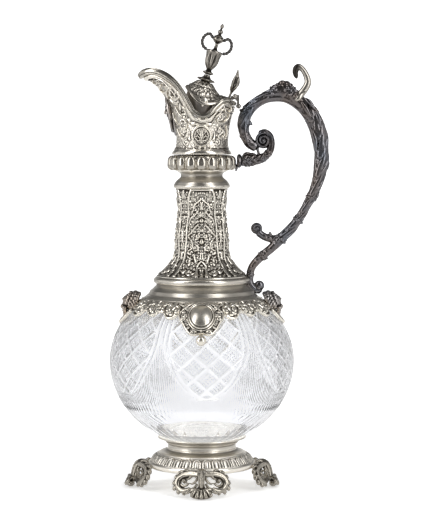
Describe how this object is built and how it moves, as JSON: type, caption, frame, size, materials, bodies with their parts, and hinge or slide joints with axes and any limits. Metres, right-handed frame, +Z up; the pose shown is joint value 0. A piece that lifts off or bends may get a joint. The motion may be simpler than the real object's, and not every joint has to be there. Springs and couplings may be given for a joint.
{
  "type": "claret jug",
  "caption": "Tall claret jug: round cut-glass body in silver mounts, scroll feet, helmet spout, hinged lid with urn finial and a tall scroll handle.",
  "frame": {"origin": "on the jug's axis, on the plane that the four feet stand on", "axes": "+Z up, +X towards the handle, so the spout points to -X; the pictured side faces -Y"},
  "size_m": [0.1864, 0.1658, 0.3936],
  "materials": {
    "silver": "polished silver with oxidised recesses",
    "oxidised_silver": "cast silver, darkly oxidised",
    "cut_glass": "clear, cut and polished",
    "cement": "matt plaster"
  },
  "bodies": {
    "jug": {"foot_front": "silver", "foot_right": "silver", "foot_back": "silver", "foot_left": "silver", "foot_dome": "silver", "foot_cup": "silver", "foot_cement": "cement", "glass_body": "cut_glass", "shoulder_cement": "cement", "shoulder_skirt": "silver", "shoulder_mount": "silver", "cartouche_front": "silver", "cartouche_back": "silver", "pendant_front": "silver", "pendant_back": "silver", "mask_spout_side": "oxidised_silver", "mask_handle_side": "oxidised_silver", "neck_sleeve": "silver", "neck_moulding": "silver", "gadroon_ring": "silver", "spout_body": "silver", "spout_rim": "silver", "spout_mask": "oxidised_silver", "medallion_front": "silver", "medallion_back": "silver", "handle_bow": "oxidised_silver", "handle_arm": "oxidised_silver", "handle_swan": "silver", "handle_socket": "oxidised_silver", "hinge_bracket": "silver", "hinge_pin": "silver"},
    "lid": {"lid": "silver", "lid_hinge_leaf": "silver", "thumbpiece": "silver", "finial_flange": "silver", "finial_urn": "silver", "finial_cap": "silver", "finial_loop_spout_side": "silver", "finial_loop_handle_side": "silver", "finial_nut": "silver"}
  },
  "joints": [
    {"name": "lid_hinge", "type": "hinge", "parent": "jug", "child": "lid", "pos_m": [0.028, 0, 0.3325], "axis": [0, 1, 0], "range_deg": [-17, 53]}
  ]
}
